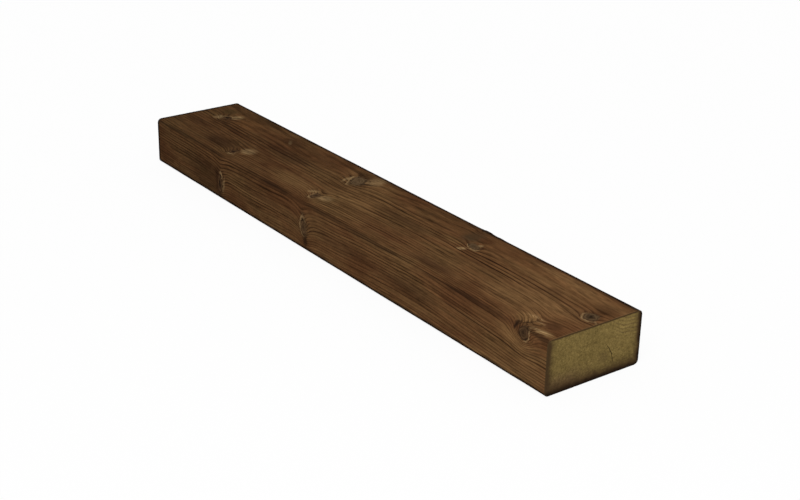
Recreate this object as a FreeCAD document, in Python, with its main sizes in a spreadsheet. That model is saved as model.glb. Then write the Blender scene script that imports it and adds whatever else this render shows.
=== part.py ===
"""Structural timber beam: one length of regularised softwood, lying on its wide face.

The beam is a single sawn and planed piece. Its section is a rectangle whose four long arrises were
rounded by the planer, and both ends are cut square by a saw, which leaves a small break round each
end. It runs along X, its width is along Y, and it stands on Z = 0 with the origin at the middle of
its underside. Lengths are in millimetres.
"""

import FreeCAD, Part
import os
import Sketcher

NODE = "beam"

# Row by row: the cell's alias, its value and what it sets.
DRIVING_DIMENSIONS = [
    ("beam_length", 1200, "length as sold, from saw cut to saw cut"),
    ("beam_width", 195, "wide face after planing, from a 200 mm sawn section"),
    ("beam_depth", 95, "narrow face after planing, from a 100 mm sawn section"),
    ("arris_radius", 9, "rounding that the planer leaves on each long edge"),
    ("end_break", 1, "break that handling leaves round each saw-cut end"),
]

# The section is drawn as a square this wide, which its two dimensions then replace.
ROUGH_SIDE = 100

# How a sketch constraint names a line's two ends, and the sketch's own origin.
LINE_START, LINE_END = 1, 2
SKETCH_ORIGIN = (-1, 1)

DIRECTION_TOLERANCE = 1e-6
VOLUME_TOLERANCE = 1e-6


def make_sheet(doc):
    """The spreadsheet that every size of the model is bound to."""
    sheet = doc.addObject("Spreadsheet::Sheet", "Sizes")
    for row, (alias, value, meaning) in enumerate(DRIVING_DIMENSIONS, start=1):
        sheet.set(f"A{row}", alias)
        sheet.set(f"B{row}", str(value))
        sheet.set(f"C{row}", meaning)
        sheet.setAlias(f"B{row}", alias)
    doc.recompute()
    return sheet


def origin_plane(body, role):
    """The body's own origin plane with that role, such as YZ_Plane."""
    return next(plane for plane in body.Origin.OriginFeatures if plane.Role == role)


def draw_section(body):
    """The beam's square-cornered section: centred across, with its underside at the origin's height."""
    sketch = body.newObject("Sketcher::SketchObject", "Section")
    sketch.AttachmentSupport = (origin_plane(body, "YZ_Plane"), "")
    sketch.MapMode = "FlatFace"

    corners = [
        FreeCAD.Vector(-ROUGH_SIDE / 2, 0, 0),
        FreeCAD.Vector(ROUGH_SIDE / 2, 0, 0),
        FreeCAD.Vector(ROUGH_SIDE / 2, ROUGH_SIDE, 0),
        FreeCAD.Vector(-ROUGH_SIDE / 2, ROUGH_SIDE, 0),
    ]
    underside, right, top, left = (
        sketch.addGeometry(Part.LineSegment(corner, next_corner), False)
        for corner, next_corner in zip(corners, corners[1:] + corners[:1])
    )

    for line, next_line in ((underside, right), (right, top), (top, left), (left, underside)):
        sketch.addConstraint(Sketcher.Constraint("Coincident", line, LINE_END, next_line, LINE_START))
    for level_line in (underside, top):
        sketch.addConstraint(Sketcher.Constraint("Horizontal", level_line))
    for upright_line in (left, right):
        sketch.addConstraint(Sketcher.Constraint("Vertical", upright_line))
    sketch.addConstraint(
        Sketcher.Constraint("Symmetric", underside, LINE_START, underside, LINE_END, *SKETCH_ORIGIN)
    )

    width = sketch.addConstraint(
        Sketcher.Constraint("DistanceX", underside, LINE_START, underside, LINE_END, ROUGH_SIDE)
    )
    height = sketch.addConstraint(
        Sketcher.Constraint("DistanceY", right, LINE_START, right, LINE_END, ROUGH_SIDE)
    )
    sketch.renameConstraint(width, "width")
    sketch.renameConstraint(height, "depth")
    sketch.setExpression("Constraints.width", "Sizes.beam_width")
    sketch.setExpression("Constraints.depth", "Sizes.beam_depth")
    return sketch


def pad_length(body, section):
    """The section carried along X, half the length each way."""
    pad = body.newObject("PartDesign::Pad", "Length")
    pad.Profile = section
    pad.SideType = "Symmetric"
    pad.setExpression("Length", "Sizes.beam_length")
    section.Visibility = False
    body.Document.recompute()
    return pad


def round_arrises(body, pad):
    """The planer's rounding on the four edges that run along the beam."""

    def runs_along_beam(edge):
        direction = edge.Vertexes[-1].Point - edge.Vertexes[0].Point
        across = max(abs(direction.y), abs(direction.z))
        return across < DIRECTION_TOLERANCE * edge.Length

    arrises = [
        f"Edge{number}"
        for number, edge in enumerate(pad.Shape.Edges, start=1)
        if runs_along_beam(edge)
    ]
    fillet = body.newObject("PartDesign::Fillet", "RoundedArrises")
    fillet.Base = (pad, arrises)
    fillet.setExpression("Radius", "Sizes.arris_radius")
    body.Document.recompute()
    return fillet


def break_ends(body, fillet):
    """The small break round both saw-cut ends."""

    def is_end(face):
        normal = face.normalAt(0, 0)
        return abs(abs(normal.x) - 1) < DIRECTION_TOLERANCE

    ends = [
        f"Face{number}"
        for number, face in enumerate(fillet.Shape.Faces, start=1)
        if is_end(face)
    ]
    chamfer = body.newObject("PartDesign::Chamfer", "EndBreaks")
    chamfer.Base = (fillet, ends)
    chamfer.setExpression("Size", "Sizes.end_break")
    body.Document.recompute()
    return chamfer


def make_beam(doc):
    """The beam as one body, named for its node."""
    body = doc.addObject("PartDesign::Body", "Beam")
    body.Label = NODE
    section = draw_section(body)
    pad = pad_length(body, section)
    rounded = round_arrises(body, pad)
    body.Tip = break_ends(body, rounded)
    doc.recompute()
    check_each_cut(pad, rounded, body.Tip)
    return body


def check_each_cut(*features):
    """Each feature after the first has to take some wood away."""
    for before, after in zip(features, features[1:]):
        if after.Shape.Volume > before.Shape.Volume * (1 - VOLUME_TOLERANCE):
            raise RuntimeError(f"{after.Label} cut nothing from {before.Label}")


def check_document(doc, bodies):
    """Stops on an object that failed to recompute, or a body that isn't one valid solid."""
    for item in doc.Objects:
        if {"Invalid", "Error"} & set(item.State):
            raise RuntimeError(f"{item.Label} failed to recompute: {item.State}")
    for body in bodies:
        shape = body.Shape
        if shape.isNull() or not shape.isValid() or len(shape.Solids) != 1:
            raise RuntimeError(f"{body.Label} is not one valid solid")


def main():
    doc = FreeCAD.newDocument("StructuralTimberBeam")
    make_sheet(doc)
    bodies = [make_beam(doc)]
    doc.recompute()
    check_document(doc, bodies)

    os.makedirs("parts", exist_ok=True)
    for body in bodies:
        body.Shape.exportStep(os.path.join("parts", f"{body.Label}.step"))
        box = body.Shape.BoundBox
        print(
            f"{body.Label}: {box.XLength:.1f} x {box.YLength:.1f} x {box.ZLength:.1f} mm,"
            f" {body.Shape.Volume / 1e9:.5f} cubic metres"
        )


main()
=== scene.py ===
"""Structural timber beam: the looks of one length of brown-treated softwood, and a studio to show it in.

The beam is planed from a block, its grain is a solid growth of rings round a pith that lies outside the
section, and each branch that the saw went through shows as a knot wherever it comes out. X runs along the
beam, Y across it and Z up. The settings are in metres. The tables of knots, stains and cracks, and the
sums on them, are in millimetres, because that is how a beam is marked out.
"""

import math
from collections import namedtuple

import bpy
import numpy as np
from bpy.props import FloatProperty, FloatVectorProperty, IntProperty, PointerProperty
from mathutils import Matrix, Vector, noise


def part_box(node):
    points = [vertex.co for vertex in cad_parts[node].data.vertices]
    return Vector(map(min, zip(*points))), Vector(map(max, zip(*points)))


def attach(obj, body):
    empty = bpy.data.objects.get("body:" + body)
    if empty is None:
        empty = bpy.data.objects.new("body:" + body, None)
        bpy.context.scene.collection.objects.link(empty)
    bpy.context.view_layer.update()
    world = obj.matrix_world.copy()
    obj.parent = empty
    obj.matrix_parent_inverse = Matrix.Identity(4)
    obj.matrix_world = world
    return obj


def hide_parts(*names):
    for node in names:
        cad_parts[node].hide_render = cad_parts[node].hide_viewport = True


bl_info = {
    "name": "Timber Beam",
    "version": (1, 0, 0),
    "blender": (4, 5, 0),
    "location": "View3D > Sidebar > Timber",
    "description": "Models a treated softwood beam with its grain, knots and saw-cut ends",
    "category": "Mesh",
}

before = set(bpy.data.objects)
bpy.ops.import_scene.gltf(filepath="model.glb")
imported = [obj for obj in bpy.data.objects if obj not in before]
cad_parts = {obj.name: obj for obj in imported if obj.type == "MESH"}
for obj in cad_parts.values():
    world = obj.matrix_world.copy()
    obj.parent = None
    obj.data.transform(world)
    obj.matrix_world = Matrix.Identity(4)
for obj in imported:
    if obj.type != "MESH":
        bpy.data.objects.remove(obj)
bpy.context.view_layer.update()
LOW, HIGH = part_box("beam")
SIZE = HIGH - LOW

MM = 0.001
LENGTH, WIDTH, DEPTH = SIZE / MM

# ---------------------------------------------------------------------------------------------------
# What is in the wood, in millimetres from the middle of the underside
# ---------------------------------------------------------------------------------------------------

# A branch is a straight line through place, along the way that it grew. The rings beside it are carried
# out by pull rings, fading over reach. Grey is how far its wood has gone from brown to grey, core how dark
# its middle is, and rim how pale the wood is round it: more on the side that toward points to.
Knot = namedtuple("Knot", "place along radius pull reach grey core rim toward")
KNOTS = (
    Knot((575, 12, 95), (0.10, -0.45, -0.89), 11.5, 1.8, 20, 0.60, 0.80, 0.30, (-0.2, -0.7, 0)),
    Knot((545, -98, 87), (0.08, -0.92, 0.38), 10.0, 7.0, 27, 0.20, 0.60, 0.10, (0.8, 0, -0.1)),
    Knot((268, 32, 95), (0.72, -0.30, -0.62), 8.0, 1.6, 18, 0.60, 0.25, 0.45, (0.0, -0.3, 0)),
    Knot((232, 92, 92), (0.10, 0.60, 0.79), 9.0, 1.0, 16, 0.30, 0.30, 0.00, (0, 0, 0)),
    Knot((-84, 42, 95), (0.45, -0.45, -0.77), 16.0, 2.2, 24, 0.70, 0.05, 0.15, (-0.6, -0.2, 0)),
    Knot((-68, -62, 95), (0.20, -0.58, -0.79), 8.5, 3.2, 26, 0.25, 0.60, 0.45, (-0.2, -0.1, 0)),
    Knot((-347, -67, 95), (-0.05, -0.45, -0.89), 8.0, 2.6, 22, 0.05, 0.95, 0.10, (0.4, -0.3, 0)),
    Knot((-527, 24, 95), (0.15, -0.40, -0.90), 9.0, 2.4, 22, 0.10, 0.90, 0.10, (-0.2, 0.6, 0)),
)

# Where the wood is paler, redder or darker than its rings make it. A stain is a soft ellipsoid, turned
# about the line that looks straight at its face. A Cycles shader has room for about seventy of them.
Stain = namedtuple("Stain", "place half_size turn tone strength")
TOP = DEPTH
LEFT = -WIDTH / 2
STAINS = (
    # round the knot on the arris, next to the near end
    Stain((522, -66, TOP), (26, 20, 14), -12, "gold", 0.80),
    Stain((530, -55, TOP), (24, 3, 8), 6, "cream", 0.45),
    Stain((578, -82, TOP), (24, 8, 14), 0, "gold", 0.85),
    Stain((575, -86, TOP), (20, 2.5, 8), 0, "cream", 0.55),
    Stain((520, LEFT, 70), (46, 8, 20), -10, "gold", 0.55),
    Stain((574, LEFT, 56), (26, 8, 14), 0, "gold", 0.50),
    Stain((567, -81, TOP), (24, 3, 8), 10, "cream", 0.85),
    Stain((536, -76, TOP), (20, 2.6, 8), 66, "black", 0.85),
    Stain((549, -63, TOP), (11, 2.0, 8), 5, "cream", 0.55),
    Stain((567, -55, TOP), (17, 14, 16), 20, "dark", 0.70),
    Stain((525, -88, TOP), (6, 8, 9), 35, "black", 0.85),
    Stain((525, -94, 92), (3.5, 8, 6), 0, "black", 0.90),
    # round the knot at the near end
    Stain((560, 22, TOP), (12, 11, 10), 20, "dark", 0.55),
    Stain((594, 4, TOP), (8, 2.5, 8), -35, "cream", 0.80),
    # round the eye knot and the burr on the far arris
    Stain((262, 11, TOP), (9, 6, 8), 40, "cream", 1.0),
    Stain((273, 43, TOP), (6, 5, 8), -40, "cream", 1.0),
    Stain((225, 22, TOP), (28, 12, 12), 8, "gold", 0.75),
    Stain((238, 60, TOP), (24, 28, 16), 0, "grey", 0.90),
    Stain((264, 64, TOP), (16, 13, 12), 0, "red", 0.80),
    # round the group of knots in the middle
    Stain((-60, 70, TOP), (95, 24, 12), 0, "gold", 0.95),
    Stain((-62, 68, TOP), (22, 24, 12), 0, "cream", 1.0),
    Stain((-40, 76, TOP), (12, 6, 12), 0, "orange", 0.8),
    Stain((-106, 30, TOP), (4, 16, 10), 25, "cream", 0.75),
    Stain((-40, -58, TOP), (30, 28, 14), 10, "gold", 0.95),
    Stain((-46, -54, TOP), (17, 13, 10), 20, "cream", 1.0),
    Stain((-89, -52, TOP), (13, 7, 8), 40, "cream", 0.95),
    Stain((-40, -32, TOP), (6, 4, 8), 0, "dark", 0.70),
    # the far half
    Stain((-331, -42, TOP), (20, 16, 12), 0, "cream", 0.90),
    Stain((-341, -77, TOP), (9, 3.5, 8), 20, "cream", 0.90),
    Stain((-330, 52, TOP), (14, 4, 8), -32, "cream", 0.85),
    Stain((-325, 60, TOP), (40, 20, 14), 0, "dark", 0.65),
    Stain((-542, 17, TOP), (15, 13, 8), 30, "cream", 1.0),
    Stain((-515, 43, TOP), (12, 15, 8), 15, "cream", 1.0),
    Stain((-556, 52, TOP), (22, 17, 12), 0, "olive", 0.75),
    Stain((-466, 36, TOP), (44, 30, 14), 0, "orange", 0.65),
    Stain((-480, 2, TOP), (60, 7, 8), -3, "dark", 0.65),
    # broad stretches, and a few smaller places away from the knots
    Stain((10, -60, TOP), (85, 28, 12), 0, "gold", 0.45),
    Stain((455, -38, TOP), (95, 30, 12), 0, "pale", 0.42),
    Stain((-5, 5, TOP), (95, 60, 12), 0, "gold", 0.55),
    Stain((425, -93, 93), (95, 5, 7), 0, "dark", 0.60),
    Stain((-220, -94, 93), (110, 5, 7), 0, "dark", 0.45),
    Stain((115, 3, TOP), (95, 12, 8), 0, "dark", 0.60),
    Stain((80, 72, TOP), (300, 24, 14), 0, "red", 0.45),
    Stain((-220, 60, TOP), (90, 34, 14), 0, "red", 0.50),
    Stain((360, -4, TOP), (90, 8, 8), -2, "dark", 0.30),
    Stain((-405, LEFT, 28), (70, 8, 40), 0, "dark", 0.60),
    Stain((500, 20, TOP), (130, 95, 14), 0, "gold", 0.22),
    Stain((500, -4, TOP), (100, 22, 12), 0, "pale", 0.45),
    Stain((440, 76, TOP), (95, 12, 12), 0, "pale", 0.50),
    Stain((572, 54, TOP), (24, 16, 12), 0, "dark", 0.40),
    Stain((-262, 12, TOP), (90, 22, 12), 0, "dark", 0.70),
    Stain((-155, -52, TOP), (85, 24, 12), 0, "gold", 0.75),
    Stain((-412, -56, TOP), (62, 24, 12), 0, "dark", 0.80),
    Stain((288, -68, TOP), (58, 14, 12), 0, "dark", 0.75),
    Stain((-500, 76, TOP), (100, 14, 10), 0, "dark", 0.50),
    Stain((-566, 16, TOP), (17, 14, 12), 0, "gold", 0.50),
    Stain((255, LEFT, 50), (100, 8, 20), 0, "dark", 0.60),
    Stain((75, LEFT, 54), (110, 8, 14), 0, "dark", 0.45),
    Stain((-420, LEFT, 58), (95, 8, 13), 0, "dark", 0.55),
    Stain((-200, LEFT, 58), (80, 8, 8), 0, "dark", 0.40),
    Stain((572, LEFT, 61), (22, 8, 6), 0, "dark", 0.50),
    Stain((480, LEFT, 11), (110, 8, 9), 0, "gold", 0.75),
    Stain((475, 28, TOP), (20, 14, 12), 0, "dark", 0.45),
    Stain((-545, -32, TOP), (52, 15, 12), 0, "dark", 0.55),
    # the side: grey and dark wood along the spike knots, and the resin below them
    Stain((-54, LEFT, 52), (11, 6, 30), 10, "grey", 0.75),
    Stain((-50, LEFT, 24), (8, 6, 15), 10, "black", 0.80),
    Stain((-357, LEFT, 46), (15, 6, 34), 5, "dark", 0.75),
    Stain((-352, LEFT, 26), (6, 6, 16), 5, "black", 0.80),
    Stain((-336, LEFT, 36), (3.2, 6, 19), -10, "cream", 0.75),
)

# A place on the near end, darkened to the tone of its rings.
END_STAIN = Stain((LENGTH / 2, 20, 34), (30, 12, 12), 0, "ring", 0.42)

# A drying check: a line across an end, from one point of the section to another, bowed by bow.
Check = namedtuple("Check", "end start stop bow width")
CHECKS = (
    Check(1, (25, 54), (40, 20), 3.5, 1.1),
    Check(-1, (-30, 60), (-12, 22), -4.0, 1.3),
    Check(-1, (35, 70), (30, 48), 1.5, 0.8),
)

# A burr on the far top arris, standing proud of its rounding.
Burr = namedtuple("Burr", "x height reach")
BURRS = (Burr(232, 1.3, 27), Burr(266, 0.7, 14))

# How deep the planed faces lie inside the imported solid's, in millimetres: in late wood, how much deeper in
# early wood, on a knot, and how much deeper in the bark round it. The uneven depths come and go by chance.
LATE_WOOD_DEPTH = 0.30
EARLY_WOOD_EXTRA = 0.16
UNEVEN_DEPTH = 0.10
KNOT_DEPTH = 0.06
UNEVEN_KNOT_DEPTH = 0.05
BARK_EXTRA = 0.55

# How deep the saw's marks and the chips along the top go into an end.
SAW_DEPTH = 0.22
CHIP_DEPTH = 0.9

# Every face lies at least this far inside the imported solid's.
LEAST_RECESS = 0.05

# How dark the late wood is, by years of growth. Hard years lie between soft ones.
RING_STRENGTH = (
    (9, 0.35),
    (13, 0.50),
    (15, 1.0),
    (18.5, 1.0),
    (20, 0.75),
    (25, 0.85),
    (29, 1.0),
    (38.5, 1.0),
    (44, 0.75),
    (52, 0.55),
)

# A tree lays down the same area of wood each year, so its rings narrow outwards. Ring widths are given at
# this distance from the pith.
WIDTH_MEASURED_AT = 200

# A distance to the nearest knot, in radii of the knot, that every real one is under.
NO_KNOT = 1000.0

# How far one seed's noise lies from the next one's, along each axis.
SEED_SHIFT = (7.3, 3.1, 5.7)


class Value:
    """A shader socket that can be used in a Python expression, which adds its Math nodes."""

    def __init__(self, shader, socket):
        self.shader = shader
        self.socket = socket

    def math(self, operation, *others):
        return self.shader.math(operation, self, *others)

    def __add__(self, other):
        return self.math("ADD", other)

    def __sub__(self, other):
        return self.math("SUBTRACT", other)

    def __rsub__(self, other):
        return self.shader.math("SUBTRACT", other, self)

    def __mul__(self, other):
        return self.math("MULTIPLY", other)

    def __truediv__(self, other):
        return self.math("DIVIDE", other)

    def __rtruediv__(self, other):
        return self.shader.math("DIVIDE", other, self)

    def __abs__(self):
        return self.math("ABSOLUTE")

    __radd__ = __add__
    __rmul__ = __mul__


class Shader:
    """Adds nodes to a material."""

    def __init__(self, material):
        material.use_nodes = True
        self.tree = material.node_tree
        self.tree.nodes.clear()

    def node(self, kind, settings=None, inputs=None, output=0):
        """One node: its settings first, then each input's value or link. Returns one of its outputs."""
        made = self.tree.nodes.new(kind)
        for name, value in (settings or {}).items():
            if name == "stops":
                self.set_stops(made.color_ramp, value)
            else:
                setattr(made, name, value)
        for name, value in (inputs or {}).items():
            if isinstance(value, Value):
                self.tree.links.new(value.socket, made.inputs[name])
            else:
                made.inputs[name].default_value = value
        return Value(self, made.outputs[output]) if made.outputs else made

    @staticmethod
    def set_stops(ramp, stops):
        """A ramp's stops, each a position and a brightness."""
        while len(ramp.elements) < len(stops):
            ramp.elements.new(1)
        for element, (position, brightness) in zip(ramp.elements, stops):
            element.position = position
            element.color = (brightness, brightness, brightness, 1)

    def math(self, operation, *values):
        return self.node("ShaderNodeMath", {"operation": operation}, dict(enumerate(values)))

    def least(self, first, second):
        return self.math("MINIMUM", first, second)

    def most(self, first, second):
        return self.math("MAXIMUM", first, second)

    def vector(self, operation, *vectors, output=0, **inputs):
        inputs = {**dict(enumerate(vectors)), **inputs}
        return self.node("ShaderNodeVectorMath", {"operation": operation}, inputs, output)

    def smooth(self, value, start, stop):
        """0 where value is at start or before it, 1 at stop or past it, and a smooth step between."""
        return self.node(
            "ShaderNodeMapRange",
            {"interpolation_type": "SMOOTHSTEP", "clamp": False},
            {"Value": value, "From Min": start, "From Max": stop},
        )

    def mix(self, share, first, second):
        """A colour between first and second, which are colours or sockets."""
        first, second = (c if isinstance(c, Value) else (*c, 1) for c in (first, second))
        inputs = {0: share, 6: first, 7: second}
        return self.node("ShaderNodeMix", {"data_type": "RGBA"}, inputs, output=2)

    def brighten(self, colour, share):
        return self.vector("SCALE", colour, Scale=share)

    def stretched(self, place, size, seed=0):
        """place measured in lengths of size, which has one number for each axis."""
        scale = tuple(1 / s for s in size)
        shift = tuple(seed * step for step in SEED_SHIFT)
        return self.node("ShaderNodeMapping", None, {"Vector": place, "Scale": scale, "Location": shift})

    def noise(self, place, size, seed=0, detail=2.0, roughness=0.5, output=0):
        """Smooth noise whose lumps are about size across, from 0 to 1 and mostly near 0.5."""
        inputs = {
            "Vector": self.stretched(place, size, seed),
            "Scale": 1.0,
            "Detail": detail,
            "Roughness": roughness,
        }
        return self.node("ShaderNodeTexNoise", None, inputs, output)


# ---------------------------------------------------------------------------------------------------
# The growth of the wood, as sums that work on arrays and on shader values alike
# ---------------------------------------------------------------------------------------------------


def sine(angle):
    return angle.math("SINE") if isinstance(angle, Value) else np.sin(angle)


def sway(x, amount, length, start):
    """How far the pith strays to one side along the trunk."""
    return amount * sine(x / length + start)


def ring_number(x, y, z, wood):
    """Years of growth at a point of the trunk, before its branches, from the pith outwards."""
    across = y - wood.pith_across / MM - sway(x, amount=5, length=210, start=0.6)
    up = z - wood.pith_up / MM - sway(x, amount=4, length=160, start=-0.4)
    return (across * across + up * up) / (2 * WIDTH_MEASURED_AT * wood.ring_width / MM)


def carried_out(distance, knot):
    """How many rings a branch carries the growth out by, at a distance from its axis."""
    near = 1 / (distance * distance / knot.reach**2 + 1)
    return near * near * knot.pull


# ---------------------------------------------------------------------------------------------------
# Materials
# ---------------------------------------------------------------------------------------------------


class Timber:
    """The fields of the wood that both of its materials draw on."""

    def __init__(self, shader, wood):
        self.shader = shader
        spot = shader.node("ShaderNodeTexCoord", output="Object")
        self.place = shader.vector("SCALE", spot, Scale=1 / MM)
        wander = shader.noise(self.place, (9, 5, 5), seed=1, detail=2, output=1)
        centred = shader.vector("SUBTRACT", wander, (0.5, 0.5, 0.5))
        self.loose_place = shader.vector("MULTIPLY_ADD", centred, (5.0, 4.0, 4.0), self.place)
        self.x, self.y, self.z = (self.part(self.place, axis) for axis in "XYZ")
        self.grow_rings(wood)

    def part(self, vector, axis):
        return self.shader.node("ShaderNodeSeparateXYZ", None, {0: vector}, output=axis)

    def round_axis(self, knot):
        """The distance to a branch's axis, and how pale its rim is on that side of the branch."""
        shader = self.shader
        along = Vector(knot.along).normalized()
        arm = shader.vector("SUBTRACT", self.loose_place, knot.place)
        turned_arm = shader.vector("CROSS_PRODUCT", arm, tuple(along))
        turned_toward = Vector(knot.toward).cross(along) / knot.radius
        rim = shader.vector("DOT_PRODUCT", turned_arm, tuple(turned_toward), output="Value") + knot.rim
        return shader.vector("LENGTH", turned_arm, output="Value"), rim

    def grow_rings(self, wood):
        """The ring number, and the nearest knot: how grey, how dark its core and how pale its rim."""
        shader = self.shader
        slow = shader.noise(self.place, (260, 46, 46), seed=2, detail=1)
        quick = shader.noise(self.place, (80, 9, 9), seed=3, detail=2)
        years = ring_number(self.x, self.y, self.z, wood) + (slow - 0.5) * 2.4 + (quick - 0.5) * 0.5
        ragged = (shader.noise(self.place, (13, 13, 13), seed=17, detail=2) - 0.5) * 0.9
        nearest = NO_KNOT
        traits = (0.0, 0.0, 0.0)
        for knot in KNOTS:
            distance, rim = self.round_axis(knot)
            years = years - carried_out(distance, knot)
            share = distance / knot.radius + ragged
            own = shader.node("ShaderNodeCombineXYZ", None, {0: knot.grey, 1: knot.core, 2: rim})
            traits = shader.mix(shader.math("LESS_THAN", share, nearest), traits, own)
            nearest = shader.least(share, nearest)
        self.years, self.knot = years, nearest
        self.grey, self.core, self.rim = (self.part(traits, axis) for axis in "XYZ")
        self.grown = shader.node(
            "ShaderNodeCombineXYZ", None, {0: self.x, 1: years * (wood.ring_width / MM), 2: self.y - self.z}
        )

        turn = shader.math("FRACT", years)
        year = shader.math("FLOOR", years)
        luck = shader.node("ShaderNodeTexWhiteNoise", {"noise_dimensions": "1D"}, {"W": year})
        first, last = RING_STRENGTH[0][0], RING_STRENGTH[-1][0]
        stops = [((age - first) / (last - first), strength) for age, strength in RING_STRENGTH]
        position = (years - first) / (last - first)
        hard = shader.node("ShaderNodeValToRGB", {"stops": stops}, {"Fac": position})
        clear = shader.smooth(shader.noise(self.grown, (190, 16, 60), seed=16, detail=1), 0.34, 0.58)
        # The rings that sweep round a knot all show clearly.
        swirl = shader.smooth(nearest, 3.6, 1.6) * 0.9
        self.hard = shader.most(hard * (clear * 0.5 + 0.5), swirl)
        late = shader.smooth(turn, 0.45, 0.80) * shader.smooth(turn, 1.0, 0.92)
        self.late = late * shader.most(luck * 0.5 + 0.5, swirl)

    def stain_mask(self, stain, place):
        """1 at the middle of a stain, fading to 0 at its edge, for a place in millimetres."""
        shader = self.shader
        on_side = abs(stain.place[1]) >= WIDTH / 2
        turn = (0, math.radians(-stain.turn), 0) if on_side else (0, 0, math.radians(stain.turn))
        inputs = {
            "Vector": place,
            "Location": stain.place,
            "Rotation": turn,
            "Scale": stain.half_size,
        }
        local = shader.node("ShaderNodeMapping", {"vector_type": "TEXTURE"}, inputs)
        return shader.smooth(shader.vector("LENGTH", local, output="Value"), 1.25, 0.35)


def planed_face_material(wood, finish):
    """Brown treatment on the planed faces: rings, fibres, knots and stains, with painted shade on the arrises
    and the far end, and painted light toward the near end.
    """
    material = bpy.data.materials.new("planed_face")
    shader = Shader(material)
    timber = Timber(shader, wood)
    place, loose, grown = timber.place, timber.loose_place, timber.grown

    fibre = shader.noise(grown, (46, 1.0, 5), seed=4, detail=3, roughness=0.6)
    streak = shader.noise(grown, (110, 2.4, 16), seed=5, detail=2)
    band = shader.noise(grown, (170, 8, 40), seed=6, detail=2)
    cloud = shader.noise(place, (170, 60, 60), seed=7, detail=2)
    mottle = shader.noise(loose, (20, 6, 6), seed=8, detail=3, roughness=0.65)

    colour = shader.mix(shader.smooth(band, 0.44, 0.64) * 0.45, finish.early_wood, finish.olive_brown)
    colour = shader.mix(shader.smooth(cloud, 0.50, 0.64) * 0.75, colour, finish.red_brown)
    colour = shader.mix(shader.smooth(cloud, 0.48, 0.34) * 0.45, colour, finish.gold)
    tones = {
        "cream": finish.cream,
        "gold": finish.gold,
        "pale": finish.pale,
        "orange": finish.orange_brown,
        "olive": finish.olive,
        "grey": finish.grey_brown,
        "red": finish.red_brown,
        "dark": finish.dark_stain,
        "black": finish.resin_and_shade,
    }
    figure = shader.smooth(fibre * 0.5 + streak * 0.5, 0.30, 0.62)
    streaky = shader.vector("MULTIPLY_ADD", figure - 0.5, (0, 6, 6), loose)
    # The rings hardly show in cream, pale and grey places.
    rings_show = 1.0
    for stain in STAINS:
        mask = timber.stain_mask(stain, streaky) * (figure * 0.45 + 0.55) * stain.strength
        colour = shader.mix(mask, colour, tones[stain.tone])
        if stain.tone in ("cream", "pale", "grey"):
            rings_show = (1 - mask * 0.8) * rings_show

    rings = timber.late * timber.hard
    colour = shader.mix(rings * rings_show * 0.96, colour, finish.late_wood)
    light = 1 + (fibre - 0.5) * 1.5 + (streak - 0.5) * 1.2 + (band - 0.5) * 1.1
    light = light + (mottle - 0.5) * 0.9 + (cloud - 0.5) * 1.0
    # Painted light: the faces are painted paler toward the near end, in place of the light falling off along
    # the beam.
    light = shader.most(light, 0.2) * (timber.x * (finish.near_end_painted_light / LENGTH) + 1)
    colour = shader.brighten(colour, light)
    colour = with_knots(shader, timber, finish, colour, mottle)

    splintered = shader.smooth(LENGTH / 2 - timber.x + (mottle - 0.5) * 8, 4, 1.5)
    splintered = splintered * shader.smooth(timber.z, DEPTH - 4, DEPTH - 1)
    colour = shader.mix(splintered * 0.55, colour, finish.pale)
    # Painted shade along the arrises and round the far end, in the resin colour.
    colour = shader.mix(arris_shade_share(shader, timber), colour, finish.resin_and_shade)

    pores = shader.noise(loose, (42, 1.2, 1.2), seed=20, detail=3, roughness=0.6)
    height = pores + mottle * 0.3
    bump = shader.node(
        "ShaderNodeBump", None, {"Strength": 1.0, "Distance": finish.grain_depth, "Height": height}
    )
    surface = {
        "Base Color": colour,
        "Roughness": 0.66 - rings * 0.12 + (fibre - 0.5) * 0.15,
        "Normal": bump,
        "Specular IOR Level": finish.sheen,
    }
    finish_material(shader, surface)
    return material


def bark_share(shader, timber):
    """1 on the broken line of bark round each knot."""
    breaks = shader.smooth(shader.noise(timber.place, (11, 11, 11), seed=9, detail=1), 0.42, 0.56)
    return shader.smooth(abs(timber.knot - 1.0), 0.16, 0.04) * breaks


def with_knots(shader, timber, finish, colour, mottle):
    """The knots laid over a colour: a dark surround, a pale rim, ringed wood, a dark core and bark."""
    knot = timber.knot
    surround = shader.smooth(knot, 1.9, 1.1) * 0.28
    colour = shader.mix(surround, colour, finish.dark_stain)
    uneven = shader.smooth(shader.noise(timber.place, (8, 5, 5), seed=18, detail=1), 0.36, 0.58) * 0.8 + 0.2
    rim = shader.smooth(abs(knot - 1.24), 0.24, 0.06) * shader.smooth(timber.rim, 0.0, 0.9)
    colour = shader.mix(rim * uneven * 0.80, colour, finish.cream)

    wood_of_knot = shader.mix(timber.grey, finish.knot_brown, finish.knot_grey)
    years = shader.math("FRACT", knot * 3.2 + (mottle - 0.5) * 1.0)
    wood_of_knot = shader.mix(shader.smooth(years, 0.30, 0.90) * 0.60, wood_of_knot, finish.dark_stain)
    core = shader.smooth(knot + (mottle - 0.5) * 0.5, 0.75, 0.15) * timber.core
    wood_of_knot = shader.mix(core, wood_of_knot, finish.resin_and_shade)
    wood_of_knot = shader.brighten(wood_of_knot, 0.6 + mottle * 0.8)
    colour = shader.mix(shader.smooth(knot, 1.12, 0.88), colour, wood_of_knot)
    return shader.mix(bark_share(shader, timber) * (0.85 - timber.grey * 0.5), colour, finish.resin_and_shade)


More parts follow.
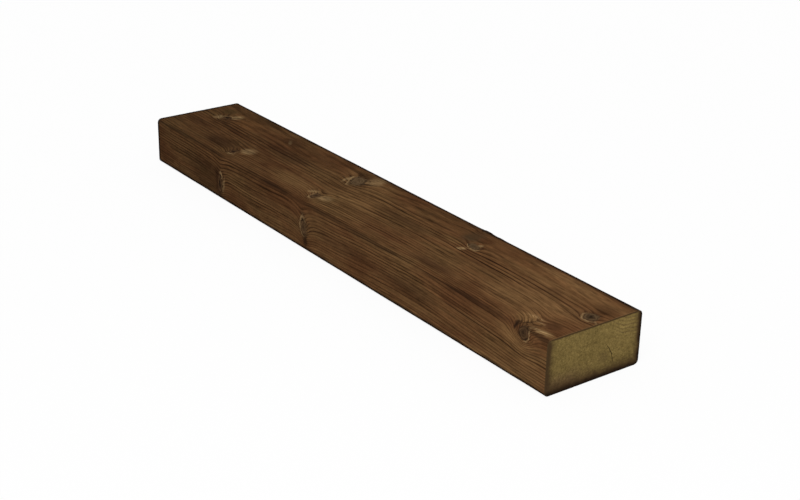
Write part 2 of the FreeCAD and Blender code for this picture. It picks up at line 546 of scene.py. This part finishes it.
def arris_shade_share(shader, timber):
    """How much painted shade lies along the arrises and round the far end, standing in for the shade of edges
    turned from the light.

    It is least along the top arris at the front, which faces the light, and its band is narrower on the back
    face and low on the front."""
    from_side = WIDTH / 2 - abs(timber.y)
    from_face = DEPTH / 2 - abs(timber.z - DEPTH / 2)
    uneven = (shader.noise(timber.place, (34, 9, 9), seed=10, detail=3) - 0.5) * 6
    back_face = shader.smooth(timber.y, WIDTH / 2 - 3, WIDTH / 2 - 0.5)
    low_front = shader.smooth(timber.y, 20, -20) * shader.smooth(timber.z, 60, 30)
    from_arris = shader.most(from_side, from_face) + uneven + back_face * 3 + low_front * 2.5
    heavy = shader.smooth(from_arris, 14.5, 8.5) * 0.95
    patchiness = shader.noise(timber.place, (110, 30, 30), seed=15, detail=2)
    light = shader.smooth(from_arris, 8.5, 3.5) * (shader.smooth(patchiness, 0.62, 0.40) * 0.40 + 0.15)
    front_top_arris = shader.smooth(timber.y, 0, -20) * shader.smooth(timber.z, DEPTH / 2, DEPTH / 2 + 20)
    along = shader.mix(front_top_arris, (1, 1, 1), (0, 0, 0))
    far = shader.smooth(timber.x + LENGTH / 2 + uneven * 0.3, 9, 4) * 0.95
    return shader.most(heavy * along + light * front_top_arris, far)


def finish_material(shader, inputs):
    principled = shader.node("ShaderNodeBsdfPrincipled", None, inputs)
    shader.node("ShaderNodeOutputMaterial", None, {"Surface": principled})


def sawn_end_material(wood, finish):
    """Olive end grain, speckled with fibre ends, with the brown of the faces soaked in round its rim, painted
    shade along its lower, right and top edges, and painted light over its upper right.
    """
    material = bpy.data.materials.new("sawn_end")
    shader = Shader(material)
    timber = Timber(shader, wood)
    place, loose = timber.place, timber.loose_place

    speckle = shader.noise(place, (5, 1.7, 1.7), seed=11, detail=3, roughness=0.7)
    fleck = shader.noise(loose, (9, 4, 3), seed=19, detail=3, roughness=0.6)
    patch = shader.noise(loose, (60, 26, 20), seed=12, detail=3)
    colour = shader.mix(shader.smooth(patch, 0.36, 0.70) * 0.6, finish.end_grain, finish.end_grain_dark)
    clear = shader.smooth(timber.y, 15, 65) * shader.smooth(timber.z, 40, 75) * 0.8 + 0.05
    colour = shader.mix(timber.late * clear, colour, finish.end_ring)
    colour = shader.mix(shader.smooth(speckle, 0.56, 0.70) * 0.55, colour, finish.end_fleck)
    brown = shader.smooth(timber.y + patch * 60, 50, -35) * shader.smooth(timber.z + patch * 40, 70, 30)
    colour = shader.mix(brown * 0.85, colour, finish.end_brown)
    sunlit = shader.smooth(timber.y, -10, 60) * shader.smooth(timber.z, 30, 75) * 0.22
    colour = shader.brighten(colour, 0.96 + (speckle - 0.5) * 0.8 + (fleck - 0.5) * 1.5 + sunlit)

    # The rim is real brown soaked in from the faces on the left, and painted shade below, on the right and
    # over the top break.
    wobble = (shader.noise(loose, (50, 13, 13), seed=13, detail=3) - 0.5) * 14
    left = shader.smooth(timber.y + WIDTH / 2 + wobble, 20, 4) * 0.95
    right = shader.smooth(WIDTH / 2 - timber.y + wobble, 19, 3)
    below = shader.smooth(timber.z + wobble, 30, 3)
    above = shader.smooth(DEPTH - timber.z + wobble * 0.15, 4, 1.3) * 0.95
    rim = shader.most(shader.most(left, right), shader.most(below, above))
    colour = shader.mix(rim, colour, finish.end_rim_and_shade)
    # Painted shade: a dark band along the bottom of the end and down its right edge.
    under = shader.smooth(timber.z + wobble * 0.5, 13, 1)
    beside = shader.smooth(WIDTH / 2 - timber.y + wobble * 0.5, 9, 1)
    colour = shader.mix(shader.most(under, beside) * 0.9, colour, finish.resin_and_shade)

    colour = shader.mix(timber.stain_mask(END_STAIN, loose) * END_STAIN.strength, colour, finish.end_ring)
    cracks = check_share(shader, timber)
    colour = shader.mix(cracks * 0.85, colour, finish.resin_and_shade)

    height = speckle * 0.9 - cracks * 2
    bump = shader.node(
        "ShaderNodeBump", None, {"Strength": 1.0, "Distance": finish.grain_depth, "Height": height}
    )
    surface = {
        "Base Color": colour,
        "Roughness": 0.78 + (speckle - 0.5) * 0.1,
        "Normal": bump,
        "Specular IOR Level": finish.sheen,
    }
    finish_material(shader, surface)
    return material


def check_share(shader, timber):
    """1 along the drying checks of the ends."""
    share = 0.0
    for check in CHECKS:
        (y0, z0), (y1, z1) = check.start, check.stop
        travel = (timber.z - z0) / (z1 - z0)
        line = travel * (y1 - y0) + y0 + travel * (1 - travel) * 4 * check.bow
        shake = (shader.noise(timber.place, (20, 4, 4), seed=14, detail=2) - 0.5) * 3
        gap = abs(timber.y - line + shake)
        width = shader.smooth(abs(travel - 0.5), 0.62, 0.30) * check.width
        at_end = shader.math("GREATER_THAN", timber.x * check.end, 0)
        mask = shader.smooth(gap / (width + 0.01), 1.0, 0.3) * at_end
        share = shader.most(share, mask)
    return share


# ---------------------------------------------------------------------------------------------------
# Modelling
# ---------------------------------------------------------------------------------------------------


def start_clean():
    """Nothing selected, so that an operator acts only on what is selected next."""
    if bpy.context.object and bpy.context.object.mode != "OBJECT":
        bpy.ops.object.mode_set(mode="OBJECT")
    bpy.ops.object.select_all(action="DESELECT")


def select_in_mesh(piece, kind, test):
    """In edit mode, selects the edges or faces for which test is true, and nothing else."""
    bpy.ops.object.mode_set(mode="EDIT")
    bpy.ops.mesh.select_mode(type=kind)
    bpy.ops.mesh.select_all(action="DESELECT")
    bpy.ops.object.mode_set(mode="OBJECT")
    mesh = piece.data
    for item in mesh.edges if kind == "EDGE" else mesh.polygons:
        item.select = test(item, [mesh.vertices[v].co for v in item.vertices])
    bpy.ops.object.mode_set(mode="EDIT")


def lies_along(axis):
    """A test for edges that run along an axis."""

    def test(_, ends):
        step = ends[1] - ends[0]
        return abs(step[axis]) > 0.999 * step.length

    return test


def cut_across(axis, places):
    """Cuts the whole mesh in edit mode by planes square to an axis."""
    normal = [0, 0, 0]
    normal[axis] = 1
    for place in places:
        bpy.ops.mesh.select_all(action="SELECT")
        bpy.ops.mesh.bisect(plane_co=[n * place for n in normal], plane_no=normal)


def evenly(start, stop, step):
    """Places between start and stop, about step apart, without the two ends."""
    count = max(1, round((stop - start) / step))
    return [start + (stop - start) * i / count for i in range(1, count)]


def fine_stretches(wood):
    """Stretches of the length as (start, stop, cell): fine round the knots, long between them."""
    margin = wood.knot_margin
    found = []
    for x in sorted(knot.place[0] * MM for knot in KNOTS):
        start, stop = max(x - margin, LOW.x), min(x + margin, HIGH.x)
        if found and start <= found[-1][1]:
            found[-1][1] = stop
        else:
            found.append([start, stop])
    stretches, reached = [], LOW.x
    for start, stop in found:
        if start > reached:
            stretches.append((reached, start, wood.cell_along))
        stretches.append((start, stop, wood.cell_at_knot))
        reached = stop
    if reached < HIGH.x:
        stretches.append((reached, HIGH.x, wood.cell_along))
    return stretches


def plane_block(wood):
    """The sawn block with its arrises rounded, its ends broken and its faces cut into small cells."""
    start_clean()
    bpy.ops.mesh.primitive_cube_add(size=1, location=(LOW + HIGH) / 2, scale=SIZE)
    piece = bpy.context.object
    piece.name = piece.data.name = "beam_timber"
    bpy.ops.object.transform_apply(location=True, rotation=False, scale=True)

    select_in_mesh(piece, "EDGE", lies_along(0))
    bpy.ops.mesh.bevel(
        offset=wood.arris_radius, offset_type="OFFSET", segments=wood.arris_segments, profile=0.5
    )
    select_in_mesh(piece, "EDGE", lambda _, ends: abs(ends[0].x + ends[1].x) > SIZE.x * 0.99)
    bpy.ops.mesh.bevel(offset=wood.end_break, offset_type="OFFSET", segments=1)

    flat = wood.arris_radius
    cut_across(1, evenly(LOW.y + flat, HIGH.y - flat, wood.cell_across))
    cut_across(2, evenly(LOW.z + flat, HIGH.z - flat, wood.cell_across))
    stretches = fine_stretches(wood)
    cut_across(0, [start for start, _, _ in stretches[1:]])
    for start, stop, cell in stretches:
        middle = (start + stop) / 2
        along = lies_along(0)

        def in_stretch(edge, ends):
            return along(edge, ends) and abs((ends[0].x + ends[1].x) / 2 - middle) < (stop - start) / 4

        select_in_mesh(piece, "EDGE", in_stretch)
        bpy.ops.mesh.subdivide(number_cuts=max(1, round((stop - start) / cell) - 1))
    bpy.ops.object.mode_set(mode="OBJECT")
    return piece


def points_of(piece):
    """The piece's points, in millimetres."""
    found = np.empty(len(piece.data.vertices) * 3)
    piece.data.vertices.foreach_get("co", found)
    return found.reshape(-1, 3) / MM


def step(values, start, stop):
    """0 where values are at start, 1 at stop, and smooth between, for arrays."""
    share = np.clip((values - start) / (stop - start), 0, 1)
    return share * share * (3 - 2 * share)


def rough(points, size, seed):
    """Smooth noise at each point, from about -1 to 1."""
    scaled = points / np.array(size) + seed * np.array(SEED_SHIFT)
    return np.array([noise.noise(Vector(p)) for p in scaled])


def from_axis(points, knot):
    """Each point's distance to a branch's axis, in millimetres."""
    along = np.array(Vector(knot.along).normalized())
    return np.linalg.norm(np.cross(points - np.array(knot.place), along), axis=1)


def relief(points, wood):
    """How deep each point lies under the planed surface, in millimetres. Knots stand a little proud."""
    x, y, z = points.T
    years = ring_number(x, y, z, wood)
    nearest = np.full(len(points), np.inf)
    for knot in KNOTS:
        distance = from_axis(points, knot)
        years = years - carried_out(distance, knot)
        nearest = np.minimum(nearest, distance / knot.radius)
    years = years + rough(points, (150, 30, 30), 2) * 0.4
    softness = 0.5 - 0.5 * np.cos(2 * np.pi * (years - 0.36))
    depth = LATE_WOOD_DEPTH + EARLY_WOOD_EXTRA * softness + UNEVEN_DEPTH * rough(points, (60, 18, 18), 4)
    on_knot = step(nearest, 1.5, 0.9)
    knot_depth = KNOT_DEPTH + UNEVEN_KNOT_DEPTH * rough(points, (4, 4, 4), 5)
    depth = depth * (1 - on_knot) + on_knot * knot_depth
    bark = step(np.abs(nearest - 1.08), 0.16, 0.02) * step(rough(points, (16, 16, 16), 6), -0.2, 0.3)
    return depth + BARK_EXTRA * bark


def end_relief(points):
    """How deep the saw and handling went into the two ends, in millimetres."""
    from_end = LENGTH / 2 - np.abs(points[:, 0])
    on_end = step(from_end, 1.3, 0.2)
    fuzz = SAW_DEPTH + SAW_DEPTH * rough(points, (6, 2.6, 2.6), 7)
    chipped = step(points[:, 2], DEPTH - 3, DEPTH - 0.5) * step(rough(points, (9, 7, 9), 8), 0.05, 0.5)
    return on_end * (fuzz + CHIP_DEPTH * chipped)


def displace(piece, name, amounts):
    """Moves each point out along its normal by its amount, by a weighted Displace modifier.

    The amounts are in millimetres and all of one sign."""
    peak = float(amounts[np.abs(amounts).argmax()])
    group = piece.vertex_groups.new(name=name)
    for index, weight in enumerate(amounts / peak):
        group.add([index], float(weight), "REPLACE")
    modifier = piece.modifiers.new(name, "DISPLACE")
    modifier.vertex_group = name
    modifier.mid_level = 0
    modifier.strength = peak * MM
    bpy.ops.object.modifier_apply(modifier=name)
    piece.vertex_groups.remove(piece.vertex_groups[name])


def carve_relief(piece, wood):
    points = points_of(piece)
    depths = relief(points, wood) * wood.relief
    depths = depths * step(LENGTH / 2 - np.abs(points[:, 0]), 0, 1.5)
    displace(piece, "grain", -np.maximum(depths, LEAST_RECESS))
    displace(piece, "ends", -np.maximum(end_relief(points), LEAST_RECESS))


def raise_burr(piece, wood):
    """The burr that a knot leaves on the far top arris, drawn out of the rounding."""
    x, y, z = points_of(piece).T
    radius = wood.arris_radius / MM
    into_arris = np.minimum(y - (WIDTH / 2 - radius), z - (DEPTH - radius)) / (radius * math.sqrt(0.5))
    height = np.zeros(len(x))
    for burr in BURRS:
        height = np.maximum(height, burr.height * step(np.abs(x - burr.x), burr.reach, 0))
    displace(piece, "burr", height * step(into_arris, 0.45, 0.9))


# Faces that meet at less than this angle are shaded as one.
SMOOTH_UNDER = math.radians(35)


def smooth_faces(piece):
    start_clean()
    piece.select_set(True)
    bpy.context.view_layer.objects.active = piece
    bpy.ops.object.shade_smooth_by_angle(angle=SMOOTH_UNDER)


def give_materials(piece, wood, finish):
    piece.data.materials.append(planed_face_material(wood, finish))
    piece.data.materials.append(sawn_end_material(wood, finish))
    select_in_mesh(piece, "FACE", lambda face, _: abs(face.normal.x) > 0.5)
    piece.active_material_index = 1
    bpy.ops.object.material_slot_assign()
    bpy.ops.object.mode_set(mode="OBJECT")


# ---------------------------------------------------------------------------------------------------
# Settings
# ---------------------------------------------------------------------------------------------------


def length_setting(name, description, default):
    return FloatProperty(name=name, description=description, default=default, unit="LENGTH", min=0)


def angle_setting(name, description, degrees):
    return FloatProperty(name=name, description=description, default=math.radians(degrees), unit="ROTATION")


def colour_setting(name, description, default):
    return FloatVectorProperty(
        name=name, description=description, default=default, subtype="COLOR", size=3, min=0, max=1
    )


class TIMBER_PG_wood(bpy.types.PropertyGroup):
    """Sizes of the beam's section, its cells and its growth."""

    arris_radius: length_setting("Arris Radius", "Rounding that the planer leaves on each long edge", 0.009)
    arris_segments: IntProperty(
        name="Arris Segments", description="Flats that make up each rounded arris", default=8, min=2
    )
    end_break: length_setting("End Break", "Break round each saw-cut end", 0.001)
    cell_across: length_setting("Cell Across", "Size of a cell across the grain", 0.0021)
    cell_along: length_setting("Cell Along", "Size of a cell along the grain, away from knots", 0.008)
    cell_at_knot: length_setting("Cell at Knot", "Size of a cell along the grain, near a knot", 0.0025)
    knot_margin: length_setting("Knot Margin", "How far on each side of a knot the fine cells go", 0.035)
    ring_width: length_setting("Ring Width", "One year's growth, 0.2 m from the pith", 0.0057)
    pith_across: FloatProperty(
        name="Pith Across", description="Where the pith lies across the beam", default=0.120, unit="LENGTH"
    )
    pith_up: FloatProperty(
        name="Pith Up", description="Where the pith lies above the underside", default=0.250, unit="LENGTH"
    )
    relief: FloatProperty(
        name="Relief", description="Share of the full depth of grain and knots", default=1.0, min=0
    )


class TIMBER_PG_finish(bpy.types.PropertyGroup):
    """Colours of the treated faces and the sawn ends."""

    early_wood: colour_setting("Early Wood", "Wide pale part of a ring", (0.112, 0.0530, 0.0210))
    late_wood: colour_setting("Late Wood", "Narrow dark part of a ring", (0.018, 0.0072, 0.0032))
    olive_brown: colour_setting("Olive Brown", "Where the treatment turned green", (0.074, 0.042, 0.0170))
    red_brown: colour_setting("Red Brown", "Where the treatment turned red", (0.060, 0.0245, 0.0100))
    orange_brown: colour_setting("Orange Brown", "Thinly treated wood", (0.120, 0.055, 0.020))
    cream: colour_setting("Cream", "Wood that resin kept the treatment out of", (0.270, 0.172, 0.080))
    gold: colour_setting("Gold", "Resinous wood beside knots", (0.152, 0.084, 0.033))
    pale: colour_setting("Pale Brown", "Wood that took little treatment", (0.155, 0.086, 0.035))
    olive: colour_setting("Olive", "Green wood near knots and ends", (0.074, 0.048, 0.018))
    grey_brown: colour_setting("Grey Brown", "Smooth wood beside a knot", (0.044, 0.029, 0.015))
    dark_stain: colour_setting("Dark Stain", "Wood soaked with treatment", (0.031, 0.0135, 0.0066))
    # Also the colour of the painted shade along the arrises, the far end, and the lower and right edges of
    # the ends.
    resin_and_shade: colour_setting("Resin", "Cracks, bark rings and arrises", (0.010, 0.0060, 0.0040))
    knot_brown: colour_setting("Knot Brown", "Brown knot wood", (0.070, 0.036, 0.016))
    knot_grey: colour_setting("Knot Grey", "Grey knot wood", (0.125, 0.082, 0.042))
    end_grain: colour_setting("End Grain", "Olive of the sawn ends", (0.178, 0.124, 0.041))
    end_grain_dark: colour_setting("End Grain Dark", "Darker patches of the sawn ends", (0.130, 0.089, 0.029))
    end_fleck: colour_setting("End Fleck", "Pale fibres of the sawn ends", (0.260, 0.190, 0.070))
    end_brown: colour_setting("End Brown", "Brown patches of the sawn ends", (0.118, 0.072, 0.033))
    end_ring: colour_setting("End Ring", "Late wood on the sawn ends", (0.088, 0.056, 0.024))
    # Also the colour of the painted shade along the lower, right and top edges of the ends.
    end_rim_and_shade: colour_setting("End Rim", "Brown that soaked in round the ends", (0.052, 0.030, 0.014))
    # Painted light: how much paler the near end is painted, in place of the light falling off along the beam.
    near_end_painted_light: FloatProperty(
        name="End to End", description="How much paler one end of the beam is than the other", default=0.52
    )
    sheen: FloatProperty(name="Sheen", description="Strength of the surface's gloss", default=0.001, min=0)
    grain_depth: length_setting("Grain Depth", "Depth of the finest grain", 0.0003)


class TIMBER_PG_stage(bpy.types.PropertyGroup):
    """The studio round the beam."""

    floor_colour: colour_setting("Floor Colour", "Colour of the floor", (0.94, 0.94, 0.94))
    floor_width: length_setting("Floor Width", "Width of the square floor", 16.0)
    floor_light: FloatProperty(
        name="Floor Light", description="Share of plain white in what shows of the floor", default=0.92
    )
    sky_strength: FloatProperty(name="Sky Strength", description="Light from all round", default=0.50)
    key_strength: FloatProperty(name="Key Strength", description="Soft main light", default=1.5)
    key_angle: angle_setting("Key Angle", "How wide the main light is", 50)
    near_power: FloatProperty(name="Near Power", description="Soft lamp over the near end", default=4)
    lens: FloatProperty(name="Lens", description="Focal length for a 36 mm frame", default=68.16)
    azimuth: angle_setting("Azimuth", "Camera's turn round the beam", 53.06)
    elevation: angle_setting("Elevation", "Camera's height", 23.755)
    roll: angle_setting("Roll", "Camera's tilt", 1.305)
    distance: length_setting("Distance", "From the camera to what it looks at", 2.6268)


# ---------------------------------------------------------------------------------------------------
# Operators
# ---------------------------------------------------------------------------------------------------

# The rays that show the floor and the sky plain white.
SEEN_BY = ("Is Camera Ray", "Is Glossy Ray", "Is Transmission Ray")

# What the camera looks at, where the lamps hang and how wide the near one and the camera's frame are.
LOOK_AT = Vector((0.12556, -0.01517, SIZE.z / 2))
KEY_PLACE = (1.6, -1.5, 3.4)
NEAR_LAMP_PLACE = (1.3, -1.0, 1.3)
NEAR_LAMP_SIZE = 0.9
FRAME_WIDTH_MM = 36


class TIMBER_OT_add_beam(bpy.types.Operator):
    """Models the beam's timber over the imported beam, with its grain, knots and saw-cut ends"""

    bl_idname = "timber.add_beam"
    bl_label = "Add Beam Timber"
    bl_options = {"REGISTER", "UNDO"}

    def execute(self, context):
        wood = context.scene.timber_wood
        piece = plane_block(wood)
        carve_relief(piece, wood)
        raise_burr(piece, wood)
        smooth_faces(piece)
        give_materials(piece, wood, context.scene.timber_finish)
        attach(piece, "root")
        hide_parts("beam")
        return {"FINISHED"}


def white_for_camera(shader, share):
    """share where a camera, a mirror or glass looks, and 0 for light."""
    rays = [shader.node("ShaderNodeLightPath", output=name) for name in SEEN_BY]
    seen = shader.most(shader.most(rays[0], rays[1]), rays[2])
    return seen * share


def lay_floor(stage):
    start_clean()
    bpy.ops.mesh.primitive_plane_add(size=stage.floor_width, location=(0, 0, LOW.z))
    floor = bpy.context.object
    floor.name = "floor"
    bpy.ops.object.mode_set(mode="EDIT")
    bpy.ops.mesh.select_all(action="SELECT")
    bpy.ops.mesh.subdivide(number_cuts=3)
    bpy.ops.object.mode_set(mode="OBJECT")
    material = bpy.data.materials.new("studio_floor")
    shader = Shader(material)
    diffuse = shader.node("ShaderNodeBsdfDiffuse", None, {"Color": (*stage.floor_colour, 1)})
    white = shader.node("ShaderNodeEmission", None, {"Color": (1, 1, 1, 1), "Strength": 1.0})
    share = white_for_camera(shader, stage.floor_light)
    surface = shader.node("ShaderNodeMixShader", None, {0: share, 1: diffuse, 2: white})
    shader.node("ShaderNodeOutputMaterial", None, {"Surface": surface})
    floor.data.materials.append(material)


def light_sky(scene, stage):
    world = bpy.data.worlds.new("studio")
    scene.world = world
    shader = Shader(world)
    strength = white_for_camera(shader, 1 - stage.sky_strength) + stage.sky_strength
    sky = shader.node("ShaderNodeBackground", None, {"Color": (1, 1, 1, 1), "Strength": strength})
    shader.node("ShaderNodeOutputWorld", None, {"Surface": sky})


def hang_lamp(kind, name, place, aim, strength):
    start_clean()
    bpy.ops.object.light_add(type=kind, location=place)
    lamp = bpy.context.object
    lamp.name = name
    lamp.rotation_euler = (Vector(aim) - Vector(place)).to_track_quat("-Z", "Y").to_euler()
    lamp.data.energy = strength
    return lamp.data


def set_camera(scene, stage):
    """The camera, which looks at the middle of the beam's height from the side and above."""
    back = Vector(
        (
            math.sin(stage.azimuth) * math.cos(stage.elevation),
            -math.cos(stage.azimuth) * math.cos(stage.elevation),
            math.sin(stage.elevation),
        )
    )
    place = LOOK_AT + back * stage.distance
    bpy.ops.object.camera_add(location=place)
    camera = bpy.context.object
    camera.name = "camera"
    level = (-back).to_track_quat("-Z", "Y").to_matrix()
    camera.rotation_euler = (level @ Matrix.Rotation(stage.roll, 3, "Z")).to_euler()
    camera.data.lens = stage.lens
    camera.data.sensor_width = FRAME_WIDTH_MM
    scene.camera = camera


class TIMBER_OT_add_stage(bpy.types.Operator):
    """Adds a pale floor, soft light and a camera"""

    bl_idname = "timber.add_stage"
    bl_label = "Add Studio"
    bl_options = {"REGISTER", "UNDO"}

    def execute(self, context):
        scene, stage = context.scene, context.scene.timber_stage
        lay_floor(stage)
        light_sky(scene, stage)
        middle = (0, 0, SIZE.z / 2)
        hang_lamp("SUN", "key", KEY_PLACE, middle, stage.key_strength).angle = stage.key_angle
        hang_lamp("AREA", "near_lamp", NEAR_LAMP_PLACE, HIGH, stage.near_power).size = NEAR_LAMP_SIZE
        set_camera(scene, stage)
        scene.view_settings.view_transform = "Standard"
        return {"FINISHED"}


class TIMBER_PT_panel(bpy.types.Panel):
    """The beam's operators and settings, in the sidebar"""

    bl_idname = "TIMBER_PT_panel"
    bl_label = "Timber Beam"
    bl_space_type = "VIEW_3D"
    bl_region_type = "UI"
    bl_category = "Timber"

    def draw(self, context):
        layout = self.layout
        for operator in OPERATORS:
            layout.operator(operator.bl_idname)
        for group in (context.scene.timber_wood, context.scene.timber_finish, context.scene.timber_stage):
            box = layout.box()
            for name in group.__annotations__:
                box.prop(group, name)


OPERATORS = (TIMBER_OT_add_beam, TIMBER_OT_add_stage)
GROUPS = {
    "timber_wood": TIMBER_PG_wood,
    "timber_finish": TIMBER_PG_finish,
    "timber_stage": TIMBER_PG_stage,
}


def register():
    for item in (*GROUPS.values(), *OPERATORS, TIMBER_PT_panel):
        bpy.utils.register_class(item)
    for name, group in GROUPS.items():
        setattr(bpy.types.Scene, name, PointerProperty(type=group))


def unregister():
    for name in GROUPS:
        delattr(bpy.types.Scene, name)
    for item in reversed((*GROUPS.values(), *OPERATORS, TIMBER_PT_panel)):
        bpy.utils.unregister_class(item)


def main():
    register()
    bpy.ops.timber.add_beam()
    bpy.ops.timber.add_stage()


if __name__ == "__main__":
    main()
